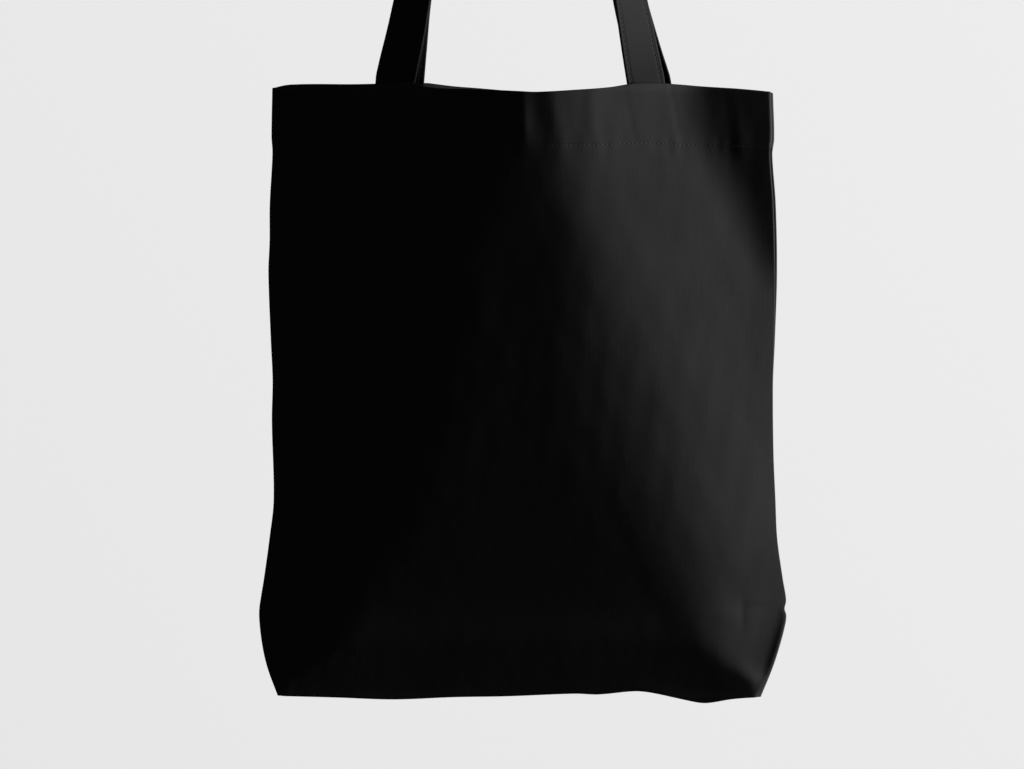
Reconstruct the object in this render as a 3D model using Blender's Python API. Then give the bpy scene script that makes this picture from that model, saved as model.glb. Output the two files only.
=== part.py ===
"""A black cotton canvas tote bag, hanging by its two handles.

Metres, +Z up, the front faces -Y. The origin is where the handles rest on what
holds the bag: the underside of the strap at the top of the loops. The body is
a front panel, a back panel and a bottom gusset folded up between them, with
side seams that part below the gusset. The mouth has a turned hem, and two
straps are sewn inside it, each of which folds over the mouth's edge.
"""

import math

import bmesh
import bpy
from mathutils import Vector

# Cloth
CLOTH = 0.0010
GAP = 0.0003
THREAD = 0.0004
STITCH_WIDTH = 0.0009

# Body
BODY_HEIGHT = 0.4060
TEE_DEPTH = 0.3480
GUSSET_HALF = 0.0615
SEAM_OFFSET = 0.0013
CORNER_OFFSET = 0.0180
FLANGE = 0.14
FLANGE_FLATNESS = 0.72

# Half widths: depth below the mouth, half width
WIDTHS = (
    (0.000, 0.1668),
    (0.120, 0.1693),
    (0.220, 0.1665),
    (0.300, 0.1687),
    (0.348, 0.1748),
    (0.377, 0.1716),
    (0.406, 0.1600),
)

# Cross sections of a panel: depth below the mouth, half depth in the middle, and
# the shares of the half width where the middle starts to slope, where the slope
# is full, and where it flattens again towards the side seam
SECTIONS = (
    (0.000, 0.0425, 0.00, 0.38, 0.62),
    (0.044, 0.0420, 0.00, 0.42, 0.71),
    (0.077, 0.0415, 0.02, 0.44, 0.80),
    (0.117, 0.0412, 0.07, 0.55, 0.89),
    (0.170, 0.0370, 0.07, 0.70, 1.05),
    (0.224, 0.0320, 0.09, 0.98, 1.10),
    (0.277, 0.0265, 0.25, 1.02, 1.10),
    (0.330, 0.0210, 0.43, 0.93, 1.10),
    (0.370, 0.0216, 0.66, 0.90, 1.10),
    (0.406, 0.0228, 0.92, 1.00, 1.10),
)

# Hem and side seams
HEM_HEIGHT = 0.0380
HEM_STITCH_DEPTH = 0.0395
COLUMNS = 28
HEM_COLUMNS = 26
ALLOWANCE = 0.0095

# Handles
STRAP_WIDTH = 0.0272
STRAP_THICKNESS = 0.0018
STRAP_SPACING = 0.0825
STRAP_LEAN = math.radians(10.6)
STRAP_END = 0.0340
HANGER_RADIUS = 0.0330
HANDLE_SIDE = 0.0144
EDGE_STITCH = 0.0030
TWIST_POWER = 1.3

STRAP_LAYER = CLOTH + GAP + CLOTH / 2 + GAP + STRAP_THICKNESS / 2
HINGE_OUT = 0.0016
HINGE_UP = 0.0005

BLACK_CANVAS = (0.020, 0.020, 0.021, 1.0)
BLACK_THREAD = (0.028, 0.028, 0.030, 1.0)


def loft(rows, depth):
    """The values at this depth, on a smooth curve through the named rows."""
    depth = min(max(depth, rows[0][0]), rows[-1][0])
    i = max(k for k in range(len(rows) - 1) if rows[k][0] <= depth)
    step = rows[i + 1][0] - rows[i][0]
    t = (depth - rows[i][0]) / step
    found = []
    for k in range(1, len(rows[0])):
        slopes = []
        for j in (i, i + 1):
            lower, upper = rows[max(j - 1, 0)], rows[min(j + 1, len(rows) - 1)]
            slopes.append((upper[k] - lower[k]) / (upper[0] - lower[0]) * step)
        a, b = rows[i][k], rows[i + 1][k]
        rise = (3 - 2 * t) * t * t
        start, end = t * (1 - t) ** 2, t * t * (t - 1)
        found.append(a + (b - a) * rise + slopes[0] * start + slopes[1] * end)
    return found


def half_width(depth):
    return loft(WIDTHS, depth)[0]


def ramp(a, start, end):
    """How far a surface has dropped at a, where its slope eases in over start to end."""
    t = (a - start) / (end - start)
    if t <= 0:
        return 0.0
    return (end - start) * (t**3 - t**4 / 2 if t < 1 else t - 0.5)


def half_depth(u, depth):
    """Distance of the panel from the bag's middle plane, u from -1 to 1 across."""
    t = max(0.0, (depth - TEE_DEPTH) / (BODY_HEIGHT - TEE_DEPTH))
    edge = SEAM_OFFSET + (CORNER_OFFSET - SEAM_OFFSET) * t
    middle, start, full, flange = loft(SECTIONS, depth)

    def drop(a):
        flat = ramp(a, flange, flange + FLANGE) * FLANGE_FLATNESS
        return ramp(a, start, full) - flat

    return edge + (middle - edge) * (1 - drop(abs(u)) / drop(1.0))


# How the strap lies against the panel where it comes out of the mouth
MOUTH_SHARE = STRAP_SPACING / half_width(0.0)
TILT = math.atan(
    (half_depth(MOUTH_SHARE - 0.05, 0.0) - half_depth(MOUTH_SHARE + 0.05, 0.0))
    / (0.10 * half_width(0.0))
)
LEG_X = STRAP_SPACING - STRAP_LAYER * math.sin(TILT)
LEG_Y = half_depth(MOUTH_SHARE, 0.0) - STRAP_LAYER * math.cos(TILT)

# Height of the loop: straight legs that lean inwards, then an arc over the hanger
ARC_X = HANGER_RADIUS * math.cos(STRAP_LEAN)
ARC_START = (LEG_X - ARC_X) / math.tan(STRAP_LEAN)
ARC_CENTRE = ARC_START - HANGER_RADIUS * math.sin(STRAP_LEAN)
LOOP_TOP = ARC_CENTRE + HANGER_RADIUS
LEG = math.hypot(LEG_X - ARC_X, ARC_START)
ARC = HANGER_RADIUS * (math.pi / 2 - STRAP_LEAN)

# The middle of the loop is one flat length, whose underside is at the origin
HANDLE_STEPS = 57
SEAT_ANGLE = (LEG + ARC) / HANDLE_STEPS / HANGER_RADIUS
SEAT_DROP = HANGER_RADIUS * (1 - math.cos(SEAT_ANGLE))
SEAT_HALF = STRAP_THICKNESS / 2 * math.cos(SEAT_ANGLE)
MOUTH_Z = -(LOOP_TOP - SEAT_DROP - SEAT_HALF)

# The fold line of the handles, just outside the hem at the straps' inner edges
FOLD_SHARE = (STRAP_SPACING - STRAP_WIDTH / 2) / half_width(0.0)
FOLD_Y = half_depth(FOLD_SHARE, 0.0) + CLOTH / 2 + HINGE_OUT


def panel_point(side, u, depth):
    """Middle of the panel's cloth; side is -1 for the front and 1 for the back."""
    return Vector((u * half_width(depth), side * half_depth(u, depth), MOUTH_Z - depth))


def panel_offset(side, u, depth, out):
    """A point at this distance outside the middle of the panel's cloth."""
    e = 1e-4
    across = panel_point(side, u + e, depth) - panel_point(side, u - e, depth)
    down = panel_point(side, u, depth + e) - panel_point(side, u, depth - e)
    normal = across.cross(down).normalized()
    if normal.y * side < 0:
        normal.negate()
    return panel_point(side, u, depth) + normal * out


def make_material(name, color, roughness):
    material = bpy.data.materials.new(name)
    material.use_nodes = True
    shader = material.node_tree.nodes["Principled BSDF"]
    shader.inputs["Base Color"].default_value = color
    shader.inputs["Roughness"].default_value = roughness
    shader.inputs["Metallic"].default_value = 0.0
    material.diffuse_color = color
    return material


def steps(start, end, count):
    return [start + (end - start) * i / count for i in range(count + 1)]


def sheet(name, rows, thickness, color, origin=(0, 0, 0)):
    """Rows of points skinned into a sheet of this thickness, as one object."""
    bm = bmesh.new()
    origin = Vector(origin)
    grid = [[bm.verts.new(Vector(p) - origin) for p in row] for row in rows]
    for upper, lower in zip(grid, grid[1:]):
        for a, b, c, d in zip(upper, upper[1:], lower[1:], lower):
            bm.faces.new((a, b, c, d))
    return thickened(name, bm, thickness, color, origin)


def thickened(name, bm, thickness, color, origin=(0, 0, 0)):
    mesh = bpy.data.meshes.new(name)
    bm.to_mesh(mesh)
    bm.free()
    mesh.shade_smooth()
    obj = bpy.data.objects.new(name, mesh)
    obj.location = origin
    mesh.materials.append(make_material(name + "_material", color, 0.9))
    bpy.context.scene.collection.objects.link(obj)
    solid = obj.modifiers.new("Cloth", "SOLIDIFY")
    solid.thickness = thickness
    solid.offset = 0.0
    return obj


def make_panel(name, side):
    depths = steps(0.0, HEM_HEIGHT, 2) + steps(HEM_HEIGHT, TEE_DEPTH, 11)[1:]
    depths += steps(TEE_DEPTH, BODY_HEIGHT, 5)[1:]
    us = steps(-1.0, 1.0, COLUMNS)
    rows = [[panel_point(side, u, d) for u in us] for d in depths]
    return sheet(name, rows, CLOTH, BLACK_CANVAS)


def make_gusset():
    """The pleat: up from the front crease to its ridge, and down to the back."""
    inset = CLOTH + 2 * GAP
    rows = []
    for t in steps(-1.0, 1.0, 10):
        row = []
        for u in steps(-1.0, 1.0, COLUMNS):
            reach = half_depth(u, BODY_HEIGHT) - inset
            rise = math.sqrt(GUSSET_HALF**2 - reach**2)
            up = rise * (1 - abs(t))
            depth = BODY_HEIGHT - up
            x = u * (half_width(depth) - GAP)
            row.append((x, reach * t, MOUTH_Z - depth))
        rows.append(row)
    return sheet("bottom_gusset", rows, CLOTH, BLACK_CANVAS)


def make_hem(name, side):
    end = HEM_COLUMNS / COLUMNS
    us = steps(-end, end, HEM_COLUMNS)
    inward = -(CLOTH + GAP)
    rows = [
        [panel_offset(side, u, d, inward) for u in us]
        for d in steps(0.0, HEM_HEIGHT, 2)
    ]
    return sheet(name, rows, CLOTH, BLACK_CANVAS)


def make_side_seam(name, hand):
    """The two edges of cloth turned in at the side, from the mouth to the gusset."""
    rows = []
    for depth in steps(0.0, TEE_DEPTH - 0.0045, 14):
        outer = half_width(depth) - 0.0012
        z = MOUTH_Z - depth
        rows.append([(hand * (outer - ALLOWANCE), 0.0, z), (hand * outer, 0.0, z)])
    return sheet(name, rows, 0.0008, BLACK_CANVAS)


def strap_x(depth):
    """Centre of the sewn end, which keeps the leg's lean behind the hem."""
    return STRAP_SPACING + math.tan(STRAP_LEAN) * depth


def make_handle_end(name, side, hand):
    half = STRAP_WIDTH / 2 / math.cos(STRAP_LEAN)
    rows = []
    for depth in steps(0.0, STRAP_END, 3):
        row = []
        for w in steps(-1.0, 1.0, 4):
            x = hand * strap_x(depth) + w * half
            u = x / half_width(depth)
            row.append(panel_offset(side, u, depth, -STRAP_LAYER))
        rows.append(row)
    return sheet(name, rows, STRAP_THICKNESS, BLACK_CANVAS)


def make_hem_stitching(name, side):
    us = [0.985 * u for u in steps(-1.0, 1.0, 2 * COLUMNS)]
    out = CLOTH / 2 + GAP + THREAD / 2
    rows = [
        [panel_offset(side, u, HEM_STITCH_DEPTH + w, out) for u in us]
        for w in (-STITCH_WIDTH / 2, STITCH_WIDTH / 2)
    ]
    return sheet(name, rows, THREAD, BLACK_THREAD)


def make_seam_stitching(name, hand):
    rows = []
    out = 0.0004 + GAP + THREAD / 2
    for depth in steps(HEM_HEIGHT, TEE_DEPTH - 0.007, 14):
        x = half_width(depth) - ALLOWANCE + 0.0002
        z = MOUTH_Z - depth
        rows.append(
            [(hand * x, -out, z), (hand * (x + STITCH_WIDTH), -out, z)]
        )
    return sheet(name, rows, THREAD, BLACK_THREAD)


def make_end_stitching(name, side, hand):
    """A sewn box with a cross in it, on the inner face of the strap's end."""
    bm = bmesh.new()
    half = STRAP_WIDTH / 2 - EDGE_STITCH
    top, bottom = 0.0035, STRAP_END - 0.0035
    corners = [
        bm.verts.new((strap_x(d) + w * half, d, 0.0))
        for w, d in ((-1, top), (1, top), (1, bottom), (-1, bottom))
    ]
    centre = bm.verts.new((strap_x((top + bottom) / 2), (top + bottom) / 2, 0.0))
    for a, b in zip(corners, corners[1:] + corners[:1]):
        bm.faces.new((a, b, centre))
    bm.normal_update()
    bmesh.ops.inset_individual(bm, faces=bm.faces[:], thickness=STITCH_WIDTH / 2)
    inner = [f for f in bm.faces if len(f.verts) == 3]
    bmesh.ops.delete(bm, geom=inner, context="FACES_ONLY")
    bmesh.ops.subdivide_edges(bm, edges=bm.edges[:], cuts=1, use_grid_fill=True)
    out = -(STRAP_LAYER + STRAP_THICKNESS / 2 + GAP + THREAD / 2)
    for vert in bm.verts:
        x, depth = hand * vert.co.x, vert.co.y
        vert.co = panel_offset(side, x / half_width(depth), depth, out)
    return thickened(name, bm, THREAD, BLACK_THREAD)


def handle_station(side, s):
    """Centre, width direction and outward normal of the strap, s from -1 to 1."""
    along = (1 - abs(s)) * (LEG + ARC)
    hand = 1 if s > 0 else -1
    if along <= LEG:
        x = LEG_X - along * math.sin(STRAP_LEAN)
        z = along * math.cos(STRAP_LEAN)
        angle = STRAP_LEAN
    else:
        angle = STRAP_LEAN + (along - LEG) / HANGER_RADIUS
        x = HANGER_RADIUS * math.cos(angle)
        z = ARC_CENTRE + HANGER_RADIUS * math.sin(angle)
    tangent = Vector((-hand * math.sin(angle), 0, math.cos(angle)))
    outward = Vector((hand * math.cos(angle), 0, math.sin(angle)))
    left = (1 - min(1.0, along / LEG)) ** TWIST_POWER
    turn = TILT * left + math.pi / 2 * (1 - left)
    front = Vector((0, side, 0))
    normal = front * math.cos(turn) + outward * math.sin(turn)
    across = tangent.cross(normal) * -hand * side
    slide = min(1.0, along / LEG)
    y = side * (LEG_Y + (HANDLE_SIDE - LEG_Y) * slide)
    base = GAP * (1 - slide)
    return Vector((hand * x, y, MOUTH_Z + z + base)), across, normal


def hinge_origin(side):
    return Vector((0, side * FOLD_Y, MOUTH_Z + HINGE_UP))


def make_handle(name, side):
    rows = []
    for s in steps(-1.0, 1.0, HANDLE_STEPS):
        centre, across, _ = handle_station(side, s)
        row = [centre + across * (w * STRAP_WIDTH / 2) for w in (-1, 0, 1)]
        if abs(s) == 1.0:
            for point in row:
                point.z = centre.z
        rows.append(row)
    return sheet(name, rows, STRAP_THICKNESS, BLACK_CANVAS, hinge_origin(side))


def make_edge_stitching(name, side, edge):
    """One row of stitching along the strap, on its outward face."""
    rows = []
    out = STRAP_THICKNESS / 2 + GAP + THREAD / 2
    inset = edge * (STRAP_WIDTH / 2 - EDGE_STITCH)
    for s in steps(-0.985, 0.985, HANDLE_STEPS):
        centre, across, normal = handle_station(side, s)
        middle = centre + across * inset + normal * out
        row = [middle + across * w for w in (-STITCH_WIDTH / 2, STITCH_WIDTH / 2)]
        rows.append(row)
    return sheet(name, rows, THREAD, BLACK_THREAD, hinge_origin(side))


def build():
    for obj in list(bpy.data.objects):
        bpy.data.objects.remove(obj, do_unlink=True)
    bag = bpy.data.objects.new("bag", None)
    bpy.context.scene.collection.objects.link(bag)
    fixed = [make_gusset()]
    for side_name, side in (("front", -1), ("back", 1)):
        fixed.append(make_panel(side_name + "_panel", side))
        fixed.append(make_hem(side_name + "_hem", side))
        fixed.append(make_hem_stitching(side_name + "_hem_stitching", side))
        for hand_name, hand in (("left", -1), ("right", 1)):
            name = side_name + "_" + hand_name + "_handle_end"
            fixed.append(make_handle_end(name, side, hand))
            fixed.append(make_end_stitching(name + "_stitching", side, hand))
    for hand_name, hand in (("left", -1), ("right", 1)):
        fixed.append(make_side_seam(hand_name + "_side_seam", hand))
        fixed.append(make_seam_stitching(hand_name + "_seam_stitching", hand))
    for obj in fixed:
        obj.parent = bag
    for side_name, side in (("front", -1), ("back", 1)):
        handle = make_handle(side_name + "_handle", side)
        for edge_name, edge in (("inner", -1), ("outer", 1)):
            name = side_name + "_handle_" + edge_name + "_stitching"
            row = make_edge_stitching(name, side, edge)
            row.parent = handle
            row.location = (0, 0, 0)


build()
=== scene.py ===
"""The looks of a black cotton canvas tote bag, hanging by its two handles.

Every piece is modelled as cloth or thread. A panel is one sheet with its hem turned
in at the mouth, its bottom fold and its side edges rolled into the seams. The
straps run in one length from sewn end to sewn end, and each stitch is modelled.
Metres, +Z up, the front faces -Y, as in the frame. A side is -1 for the front and
1 for the back, a hand is -1 for the left and 1 for the right, and a depth is the
distance down the cloth from the mouth.
"""

import math

import bmesh
import bpy
import numpy as np
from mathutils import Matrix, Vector


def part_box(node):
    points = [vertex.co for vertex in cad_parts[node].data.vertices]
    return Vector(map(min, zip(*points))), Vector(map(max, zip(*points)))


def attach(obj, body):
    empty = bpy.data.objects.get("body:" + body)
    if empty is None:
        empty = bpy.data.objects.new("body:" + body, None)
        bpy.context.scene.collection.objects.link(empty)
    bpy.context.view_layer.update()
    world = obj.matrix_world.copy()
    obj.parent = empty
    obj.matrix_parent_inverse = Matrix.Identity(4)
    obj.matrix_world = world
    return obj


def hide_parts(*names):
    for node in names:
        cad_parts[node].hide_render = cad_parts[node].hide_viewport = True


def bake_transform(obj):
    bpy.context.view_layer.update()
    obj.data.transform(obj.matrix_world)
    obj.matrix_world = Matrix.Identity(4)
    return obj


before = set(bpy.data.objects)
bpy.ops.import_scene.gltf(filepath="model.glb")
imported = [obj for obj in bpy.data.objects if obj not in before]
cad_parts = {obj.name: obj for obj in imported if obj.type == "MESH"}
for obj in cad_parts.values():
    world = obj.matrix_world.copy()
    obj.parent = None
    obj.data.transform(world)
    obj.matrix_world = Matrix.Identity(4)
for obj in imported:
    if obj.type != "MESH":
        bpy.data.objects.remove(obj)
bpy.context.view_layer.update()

MM = 0.001
SIDES = (("front", -1), ("back", 1))
HANDS = (("left", -1), ("right", 1))

# The body. The cloth's mouth hangs MOUTH_DROP below the frame's, and its curves
# take up a little of its height. The side seams end at TEE_DEPTH, where the fold
# beside the gusset starts.
MOUTH_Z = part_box("front_hem")[1].z
MOUTH_DROP = 1.2 * MM
HEIGHT_SHARE = 0.9945
BODY_HEIGHT = 406 * MM
TEE_DEPTH = 348 * MM
ROUGH_HALF_WIDTH = 170 * MM

# Cloth, and the thread of its stitches
CLOTH = 0.8 * MM
LAYER = 0.92 * MM
WEAVE_PITCH = 0.85 * MM
THREAD = 0.42 * MM
THREAD_TWIST = 0.55 * MM
STITCH_PITCH = 3.1 * MM
STITCH_LENGTH = 2.5 * MM

# The hem, turned in at the mouth, and the bottom fold's lip
HEM_HEIGHT = 38 * MM
HEM_START = 1.2 * MM
HEM_STITCH_DEPTH = 39.5 * MM
HEM_STITCH_WANDER = 0.2 * MM
INNER_STITCH_RISE = 2.2 * MM
BOTTOM_LIP = 5 * MM

# The gusset's pleat: its height, and how its ridge is rounded and sags
GUSSET_HALF = 61.5 * MM
GUSSET_RAISE = 1.5 * MM
RIDGE_ROUNDING = 0.02
GUSSET_SAG = 0.8 * MM
SAG_OUT = 0.4
SAG_UP = 0.2

# The side seam allowances inside the bag
SEAM_THICKNESS = 1.5 * MM
SEAM_WIDTH = 8.6 * MM
SEAM_INSET = 1.4 * MM
SEAM_RIPPLE = 0.25 * MM
SEAM_THREAD_OUT = 0.82 * MM

# The straps. Their loops meet the hanger HANDLE_SIDE from the bag's middle plane.
STRAP_WIDTH = 27.2 * MM
STRAP_THICKNESS = 2.0 * MM
STRAP_LEAN = math.radians(10.6)
STRAP_SPACING = 83.4 * MM
STRAP_END = 34 * MM
STRAP_LAYER = -(1.5 * LAYER + STRAP_THICKNESS / 2)
STRAP_WOBBLE = 0.25 * MM
STRAP_CROWN = 0.12 * MM
PLY_SLIT = 0.35 * MM
EDGE_STITCH = 3.0 * MM
STITCH_GROOVE = 0.28 * MM
HANGER_RADIUS = 33 * MM
HANDLE_SIDE = 14.4 * MM
# Each leg's turn from the mouth's line and how its twist grows; how far out it
# stands from its even place at the mouth, and at LEG_BEND up the leg
LEGS = {
    (-1, -1): (math.radians(10), 1.00, 2.2 * MM, 1.0 * MM),
    (-1, 1): (math.radians(20), 0.90, -0.5 * MM, 0.0),
    (1, -1): (math.radians(0), 0.80, -3.3 * MM, 1.6 * MM),
    (1, 1): (math.radians(20), 0.90, 4.6 * MM, 0.1 * MM),
}
LEG_BEND = 57 * MM
LEG_EVEN = 150 * MM
LEG_FAR = 1000 * MM
# Where the strap bends at the mouth, from just below the mouth to just above it
FOLD_REACH = 14 * MM

# Colours
CANVAS_BLACK = (0.0200, 0.0200, 0.0208)
# The straps' canvas is a darker copy of the panels' canvas: painted shade that tones down the key
# light on the turned straps
STRAP_SHADED_BLACK = (0.0152, 0.0152, 0.0158)
THREAD_BLACK = (0.0200, 0.0200, 0.0208)
# The straps' thread is a darker copy of the thread, painted shade to match the darkened strap canvas
STRAP_THREAD_SHADED_BLACK = (0.0125, 0.0125, 0.0129)
PANEL_WEAR = 0.5
STRAP_WEAR = 0.15

# Half widths of the bag, left and right: depth below the mouth, half width
LEFT_WIDTHS = (
    (0.000, 0.1660),
    (0.033, 0.1665),
    (0.045, 0.1659),
    (0.080, 0.1677),
    (0.104, 0.1678),
    (0.125, 0.1686),
    (0.170, 0.1670),
    (0.197, 0.1658),
    (0.224, 0.1663),
    (0.277, 0.1651),
    (0.303, 0.1679),
    (0.330, 0.1716),
    (0.343, 0.1737),
    (0.352, 0.1748),
    (0.363, 0.1741),
    (0.377, 0.1719),
    (0.390, 0.1684),
    (0.406, 0.1620),
)
RIGHT_WIDTHS = (
    (0.000, 0.1665),
    (0.033, 0.1673),
    (0.045, 0.1660),
    (0.080, 0.1683),
    (0.125, 0.1691),
    (0.170, 0.1677),
    (0.200, 0.1664),
    (0.245, 0.1667),
    (0.277, 0.1680),
    (0.303, 0.1692),
    (0.330, 0.1729),
    (0.344, 0.1751),
    (0.350, 0.1741),
    (0.3545, 0.1754),
    (0.363, 0.1740),
    (0.377, 0.1699),
    (0.390, 0.1651),
    (0.406, 0.1578),
)
# How much further in the front's edges are than the back's, below the side seam
FRONT_INSETS = {-1: 0.2 * MM, 1: 0.4 * MM}
# A strip of the back shows beside the front's upper right edge, and fades down it
BACK_STRIP = 1.6 * MM
STRIP_DEPTH = 90 * MM
STRIP_FADE = 130 * MM
# The cloth's roll at the side: its radius, where the hem's fades, where the bottom's
# starts and how fast it grows, and how much fatter it is beside the pleat
EDGE_ROLL = 0.55 * CLOTH
HEM_ROLL_FADE = 4 * MM
BOTTOM_ROLL = 14 * MM
BOTTOM_ROLL_GROWTH = 9 * MM
PLEAT_ROLL = 0.6 * MM

# Cross sections of a panel: depth below the mouth, half depth in the middle, and
# the shares of the half width where the middle starts to slope, where the slope
# is full, and where it flattens again towards the side seam
SECTIONS = (
    (0.000, 0.0425, -0.03, 0.38, 0.59),
    (0.031, 0.0425, -0.03, 0.40, 0.635),
    (0.044, 0.0420, -0.03, 0.42, 0.68),
    (0.077, 0.0415, 0.00, 0.44, 0.77),
    (0.117, 0.0412, 0.06, 0.55, 0.86),
    (0.144, 0.0400, 0.06, 0.61, 0.96),
    (0.170, 0.0370, 0.06, 0.70, 1.05),
    (0.224, 0.0315, 0.08, 0.98, 1.10),
    (0.277, 0.0260, 0.25, 1.02, 1.10),
    (0.330, 0.0190, 0.43, 0.91, 1.10),
    (0.350, 0.0187, 0.53, 0.86, 1.10),
    (0.370, 0.0216, 0.63, 0.83, 1.10),
    (0.383, 0.0218, 0.75, 0.885, 1.10),
    (0.397, 0.0220, 0.92, 1.00, 1.10),
    (0.406, 0.0228, 0.97, 1.02, 1.10),
)
FLANGE = 0.21
FLANGE_FLATNESS = 0.95
# How far a bottom corner stands from the bag's middle plane
CORNER_OFFSET = 18 * MM

# How far the front mouth hangs below the straps' level: across, drop
MOUTH_SAG = (
    (-0.1680, 0.0030),
    (-0.1545, 0.0002),
    (-0.1100, 0.0000),
    (-0.0760, 0.0000),
    (-0.0700, 0.0005),
    (-0.0645, 0.0024),
    (-0.0580, 0.0035),
    (-0.0454, 0.0042),
    (-0.0315, 0.0047),
    (-0.0055, 0.0060),
    (0.0104, 0.0066),
    (0.0424, 0.0045),
    (0.0590, 0.0028),
    (0.0700, 0.0008),
    (0.0780, 0.0000),
    (0.0980, 0.0000),
    (0.1222, 0.0016),
    (0.1460, 0.0031),
    (0.1680, 0.0052),
)
BACK_MOUTH_SAG = (
    (-0.1680, 0.0030),
    (-0.1545, 0.0004),
    (-0.0900, 0.0000),
    (-0.0760, -0.0010),
    (-0.0645, -0.0022),
    (-0.0580, -0.0016),
    (-0.0454, -0.0003),
    (-0.0315, 0.0006),
    (-0.0115, 0.0022),
    (0.0104, 0.0046),
    (0.0424, 0.0044),
    (0.0660, 0.0012),
    (0.0980, 0.0002),
    (0.1222, 0.0020),
    (0.1460, 0.0036),
    (0.1680, 0.0056),
)
# How far the front bottom fold hangs below its level: across, drop
BOTTOM_WAVE = (
    (-0.1626, 0.0004),
    (-0.1240, 0.0014),
    (-0.0850, 0.0027),
    (-0.0450, 0.0012),
    (-0.0100, 0.0006),
    (0.0344, -0.0011),
    (0.0504, -0.0006),
    (0.0743, -0.0027),
    (0.0860, -0.0016),
    (0.1143, 0.0044),
    (0.1222, 0.0051),
    (0.1400, 0.0024),
    (0.1580, 0.0012),
)
BACK_WAVE = 0.6
SAG_FADE = 60 * MM
WAVE_FADE = 50 * MM

# Soft folds: height, wavelength, how many times longer they are down than across
LONG_FOLDS = (0.35 * MM, 110 * MM, 2.2)
SHORT_FOLDS = (0.10 * MM, 26 * MM, 1.6)
FINE_FOLDS = (0.025 * MM, 9 * MM, 1.4)
PUCKERS = (0.16 * MM, 11 * MM, 1.0)
# The taut middle has this share of the folds of the slopes beside it
TAUT_SHARE = 0.25
TAUT_EDGE = 0.15
TAUT_FADE = 0.25
# Folds end towards the side seam, from this share of the half width
FOLDS_END = 0.90
# The hem's stitching: how far it draws the cloth in, its width, its puckers' reach
HEM_GROOVE = 0.30 * MM
HEM_GROOVE_WIDTH = 1.3 * MM
PUCKER_REACH = 9 * MM
# The sewn strap ends push the hem out, with a groove beside each
PRINT_HEIGHT = 0.22 * MM
PRINT_START = 0.4 * MM
PRINT_SLOPE = 1.6 * MM
PRINT_GROOVE = 0.30 * MM
PRINT_GROOVE_OUT = 0.6 * MM
PRINT_GROOVE_WIDTH = 0.9 * MM
PRINT_FADE = 5 * MM
# The crease that the gusset's ridge leaves in the panel
RIDGE_CREASE = 0.42 * MM
RIDGE_CREASE_RISE = 1.5 * MM
RIDGE_CREASE_WIDTH = 3.2 * MM
RIDGE_CREASE_START = 0.82
RIDGE_CREASE_GROWTH = 0.15
# The lip of the fold beside the gusset
LIP = 1.0 * MM
LIP_WIDTH = 2.8 * MM
# Creases of the front: across, depth, half width, half length, height, lean
CREASES = (
    (0.0010, 0.018, 0.0050, 0.024, 0.00105, 0.02),
    (0.0210, 0.014, 0.0060, 0.026, 0.00070, 0.05),
    (0.0455, 0.018, 0.0050, 0.024, 0.00050, 0.00),
    (0.1290, 0.020, 0.0060, 0.026, 0.00025, 0.05),
    (0.1430, 0.020, 0.0050, 0.030, 0.00035, 0.10),
    (0.1460, 0.352, 0.0022, 0.010, -0.00035, 0.00),
)

# The cloth's grid: the columns between the side seams, closer beside them, and the
# rows as (from, to, step) in millimetres of depth, closer at the mouth, at the hem's
# stitching and at the bottom
COLUMNS = 175
EDGE_COLUMNS = 5
EDGE_SHARE = 0.985
ROWS = (
    (0, 4, 0.8),
    (4, 37, 1.7),
    (37, 43, 0.5),
    (43, 330, 1.9),
    (330, 392, 1.6),
    (392, 406, 0.8),
)

# The studio and the camera
VIEW_DISTANCE = 4.5
VIEW_WIDTH = 0.6814
VIEW_X = -0.0069
VIEW_DROP = 0.200
SENSOR = 36.0
BAG_MIDDLE = (0, 0, MOUTH_Z - 0.2)
KEY_LIGHT = ((3.2, 0.15, -0.35), (0.9, 1.6), 285)
BACK_LIGHT = ((-1.4, 3.2, 0.3), (1.6, 1.6), 60)
FLOOR_LIGHT = ((0, 0, 2.2), (8.0, 8.0), 310)
FLOOR_SIZE = 14
FLOOR_Z = -1.15
FLOOR_FADE = (0.8, 3.6)
FLOOR_PALE = 0.76
FLOOR_DARK = 0.05
GREY = 0.818
GREY_RISES = (("X", 0.023), ("Z", 0.016))
GREY_REACH = 0.12
AMBIENT = 0.040


# Curves and noise


def loft(rows, at):
    """The columns' values on a smooth curve through the rows, at these places."""
    table = np.array(rows, float)
    at = np.clip(np.asarray(at, float), table[0, 0], table[-1, 0])
    last = len(table) - 1
    near = np.arange(last + 1)
    lower, upper = table[np.maximum(near - 1, 0)], table[np.minimum(near + 1, last)]
    slopes = (upper - lower)[:, 1:] / (upper - lower)[:, :1]
    i = np.clip(np.searchsorted(table[:, 0], at, side="right") - 1, 0, last - 1)
    step = (table[i + 1, 0] - table[i, 0])[..., None]
    t = (at - table[i, 0])[..., None] / step
    a, b = table[i, 1:], table[i + 1, 1:]
    bend = slopes[i] * step * t * (1 - t) ** 2 + slopes[i + 1] * step * t * t * (t - 1)
    return np.moveaxis(a + (b - a) * (3 - 2 * t) * t * t + bend, -1, 0)


def ease(t):
    """From 0 to 1 with a soft start and end."""
    t = np.clip(t, 0, 1)
    return t * t * (3 - 2 * t)


def bell(t):
    """1 at 0, falling to both sides."""
    return np.exp(-(t**2))


def unit(v):
    """The vectors at length 1."""
    return v / np.maximum(np.linalg.norm(v, axis=-1, keepdims=True), 1e-12)


def spread(start, end, step):
    """Even places from start to end, about a step apart."""
    return np.linspace(start, end, max(1, round(abs(end - start) / step)) + 1)


def travelled(points):
    """The distance along a line of points, at each of them."""
    return np.concatenate([[0], np.linalg.norm(np.diff(points, axis=0), axis=1).cumsum()])


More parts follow.
